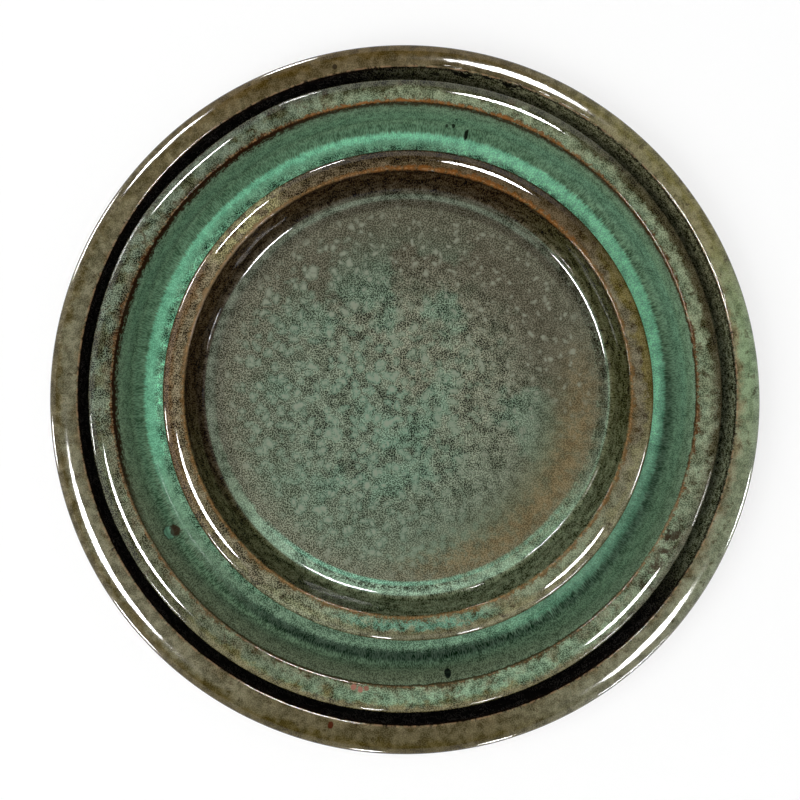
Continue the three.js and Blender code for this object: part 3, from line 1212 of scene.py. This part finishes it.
LARGE_WOBBLES = [Wobble(38, 30, -0.9 * MM), Wobble(280, 40, -0.3 * MM)]
MEDIUM_WOBBLES = [
    Wobble(66, 12, 0.5 * MM),
    Wobble(112, 12, 0.8 * MM),
    Wobble(148, 12, 0.8 * MM),
    Wobble(130, 8, -0.3 * MM),
]
SMALL_WOBBLES = [Wobble(70, 20, 0.3 * MM), Wobble(200, 30, -0.3 * MM)]
MEDIUM_BLEMISHES = [
    Blemish(210.7, 28.5 * MM, 9.5 * MM, 6.6 * MM, 0.9 * MM),
    Blemish(278.8, 14.6 * MM, 11 * MM, 2.8 * MM, -0.35 * MM),
]


def make_saucer(context, body, recipe, sides, wobbles, blemishes, seed):
    """Throw and glaze one saucer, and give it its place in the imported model."""
    node = f"{body}_saucer"
    own = getattr(context.scene.saucers, body)
    section = Section(node, own, context.scene.saucers.shared)
    piece = throw_saucer(node, section, sides, wobbles, blemishes, seed)
    piece.data.materials.append(glaze_saucer(f"{body}_glaze", section, own, recipe, 10 * seed))
    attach(piece, body)
    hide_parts(node)
    return {"FINISHED"}


class SAUCERS_OT_large(bpy.types.Operator):
    """Throw and glaze the large saucer"""

    bl_idname = "saucers.large"
    bl_label = "Large saucer"

    def execute(self, context):
        return make_saucer(context, "large", LARGE_RECIPE, 384, LARGE_WOBBLES, [], seed=1)


class SAUCERS_OT_medium(bpy.types.Operator):
    """Throw and glaze the medium saucer"""

    bl_idname = "saucers.medium"
    bl_label = "Medium saucer"

    def execute(self, context):
        return make_saucer(context, "medium", MEDIUM_RECIPE, 360, MEDIUM_WOBBLES, MEDIUM_BLEMISHES, seed=2)


class SAUCERS_OT_small(bpy.types.Operator):
    """Throw and glaze the small saucer"""

    bl_idname = "saucers.small"
    bl_label = "Small saucer"

    def execute(self, context):
        return make_saucer(context, "small", SMALL_RECIPE, 360, SMALL_WOBBLES, [], seed=3)


# The stage


def aim(lamp, bearing, elevation, distance, target):
    """Put a lamp at a bearing and elevation from a point, facing it."""
    turn = math.radians(bearing)
    rise = math.radians(elevation)
    way = Vector((math.cos(turn) * math.cos(rise), math.sin(turn) * math.cos(rise), math.sin(rise)))
    lamp.location = target + way * distance
    lamp.rotation_euler = way.to_track_quat("Z", "Y").to_euler()


def area_lamp(name, wide, high, radiance):
    """An area lamp of a given brightness, which the camera doesn't see."""
    light = bpy.data.lights.new(name, "AREA")
    light.shape = "RECTANGLE"
    light.size = wide
    light.size_y = high
    light.energy = radiance * math.pi * wide * high
    lamp = put(name, light)
    lamp.visible_camera = False
    return lamp


class Box(NamedTuple):
    """A softbox that the glaze mirrors: its bearing, elevation, width and height in degrees."""

    bearing: float
    elevation: float
    wide: float
    high: float

    def across(self, degrees):
        """How wide an angle is at the softbox."""
        return 2 * SOFTBOX_DISTANCE * math.tan(math.radians(degrees / 2))


SOFTBOXES = (
    Box(70, 57, 12, 11),
    Box(134, 43, 13, 4),
    Box(207, 63, 15, 13),
    Box(316, 55, 11, 11),
    Box(109, 6, 9, 9),
    Box(152, 6, 16, 7),
    Box(187, 4, 8, 6),
    Box(220, 6, 11, 8),
    Box(264, 4, 5, 7),
    Box(285, 4, 6, 6),
    Box(310, 4, 16, 3.5),
    Box(342, 6, 13, 9),
)
SOFTBOX_DISTANCE = 1.6
KEY_BEARING = 205
KEY_ELEVATION = 68
TOP_ELEVATION = 84
KEY_DISTANCE = 2.4
KEY_SIZE = 1.1

# The dark flag overhead.
FLAG_HEIGHT = 2.2
FLAG_RADIUS = 2.4
FLAG_SIDES = 64
FLAG_TONE = tone("#242424")

# How pale the floor is to the set, and how it shows: its own glow, and what its shadow takes off.
FLOOR_PALE = (0.8, 0.8, 0.8)
FLOOR_GLOW = 0.7
FLOOR_SHADED = (0.33, 0.33, 0.33)
WHITE = (1, 1, 1)


class SAUCERS_OT_stage(bpy.types.Operator):
    """Lay the pale floor, hang the lamps and place the camera"""

    bl_idname = "saucers.stage"
    bl_label = "Floor, lamps and camera"

    def execute(self, context):
        stage = context.scene.saucers.stage
        self.place_camera(context, stage)
        self.hang_lamps(stage)
        self.hang_flag()
        self.light_sky(context, stage)
        self.lay_floor(stage)
        return {"FINISHED"}

    def place_camera(self, context, stage):
        """Look straight down, with the set's centre where the photograph has it."""
        camera = bpy.data.cameras.new("camera_above")
        camera.sensor_width = stage.sensor / MM
        camera.lens = camera.sensor_width * stage.camera_height / (IMAGE_PIXELS * stage.pixel)
        seen = put("camera_above", camera)
        half = IMAGE_PIXELS / 2
        seen.location = (
            (half - CENTRE_PIXEL[0]) * stage.pixel,
            (CENTRE_PIXEL[1] - half) * stage.pixel,
            stage.scale_plane + stage.camera_height,
        )
        context.scene.camera = seen

    def hang_lamps(self, stage):
        """Softboxes that the glaze mirrors, and two broad lamps that light it."""
        target = Vector((0, 0, stage.scale_plane))
        for box in SOFTBOXES:
            name = f"softbox_{box.bearing}"
            lamp = area_lamp(name, box.across(box.wide), box.across(box.high), stage.boxes)
            lamp.data.shape = "ELLIPSE"
            aim(lamp, box.bearing, box.elevation, SOFTBOX_DISTANCE, target)
            lamp.visible_diffuse = False
        broad = (("key_lamp", KEY_ELEVATION, stage.key), ("top_lamp", TOP_ELEVATION, stage.top))
        for name, elevation, share in broad:
            solid_angle = KEY_SIZE * KEY_SIZE / KEY_DISTANCE**2
            radiance = share * math.pi / (solid_angle * math.sin(math.radians(elevation)))
            lamp = area_lamp(name, KEY_SIZE, KEY_SIZE, radiance)
            aim(lamp, KEY_BEARING, elevation, KEY_DISTANCE, target)
            lamp.visible_glossy = False

    def hang_flag(self):
        """A dark flag overhead, which only the glaze mirrors, so that level glaze keeps its depth."""
        bm = bmesh.new()
        bmesh.ops.create_circle(bm, cap_ends=True, segments=FLAG_SIDES, radius=FLAG_RADIUS)
        bmesh.ops.translate(bm, verts=bm.verts[:], vec=(0, 0, FLAG_HEIGHT))
        flag = put_drawn("dark_flag", bm)
        paint = Paint(bpy.data.materials.new("dark_flag"))
        paint.surface(paint.node("ShaderNodeBsdfDiffuse", inputs={"Color": FLAG_TONE}))
        flag.data.materials.append(paint.owner)
        flag.visible_camera = False
        flag.visible_diffuse = False
        flag.visible_shadow = False
        flag.visible_transmission = False

    def light_sky(self, context, stage):
        """Pale surroundings that light the set, and look white to the camera and in the glaze."""
        paint = Paint(bpy.data.worlds.new("sky"))
        strength = paint.node("ShaderNodeMapRange", inputs={"Value": paint.seen(), "To Min": stage.sky})
        sky = paint.node("ShaderNodeBackground", inputs={"Color": WHITE, "Strength": strength})
        paint.surface(sky, "ShaderNodeOutputWorld")
        context.scene.world = paint.owner

    def lay_floor(self, stage):
        """A level pale floor that keeps a soft shadow and looks white."""
        bm = bmesh.new()
        bmesh.ops.create_grid(bm, x_segments=1, y_segments=1, size=stage.floor_size)
        floor = put_drawn("pale_floor", bm)
        paint = Paint(bpy.data.materials.new("pale_floor"))
        plain = paint.node("ShaderNodeBsdfDiffuse", inputs={"Color": FLOOR_PALE})
        glow = paint.node("ShaderNodeEmission", inputs={"Color": WHITE, "Strength": FLOOR_GLOW})
        shaded = paint.node("ShaderNodeBsdfDiffuse", inputs={"Color": FLOOR_SHADED})
        shown = paint.node("ShaderNodeAddShader", inputs={0: glow, 1: shaded})
        paint.surface(paint.node("ShaderNodeMixShader", inputs={0: paint.seen(), 1: plain, 2: shown}))
        floor.data.materials.append(paint.owner)


class SaucerSet(bpy.types.PropertyGroup):
    """All settings of the set."""

    shared: bpy.props.PointerProperty(type=SharedShape, name="Shared shape", description="Common sizes")
    large: bpy.props.PointerProperty(type=LargeSaucer, name="Large", description="The large saucer")
    medium: bpy.props.PointerProperty(type=MediumSaucer, name="Medium", description="The medium saucer")
    small: bpy.props.PointerProperty(type=SmallSaucer, name="Small", description="The small saucer")
    stage: bpy.props.PointerProperty(type=StageSettings, name="Stage", description="Floor, lamps, camera")


class SAUCERS_PT_panel(bpy.types.Panel):
    """The sidebar's list of what this add-on makes."""

    bl_idname = "SAUCERS_PT_panel"
    bl_label = "Nested plant saucers"
    bl_space_type = "VIEW_3D"
    bl_region_type = "UI"
    bl_category = "Saucers"

    def draw(self, context):
        for operator in (SAUCERS_OT_stage, SAUCERS_OT_large, SAUCERS_OT_medium, SAUCERS_OT_small):
            self.layout.operator(operator.bl_idname)


CLASSES = (
    SharedShape,
    LargeSaucer,
    MediumSaucer,
    SmallSaucer,
    StageSettings,
    SaucerSet,
    SAUCERS_OT_stage,
    SAUCERS_OT_large,
    SAUCERS_OT_medium,
    SAUCERS_OT_small,
    SAUCERS_PT_panel,
)


def register():
    for made in CLASSES:
        bpy.utils.register_class(made)
    bpy.types.Scene.saucers = bpy.props.PointerProperty(type=SaucerSet)


def unregister():
    del bpy.types.Scene.saucers
    for made in reversed(CLASSES):
        bpy.utils.unregister_class(made)


def main():
    register()
    bpy.context.scene.view_settings.view_transform = "Standard"
    bpy.ops.saucers.stage()
    bpy.ops.saucers.large()
    bpy.ops.saucers.medium()
    bpy.ops.saucers.small()


if __name__ == "__main__":
    main()
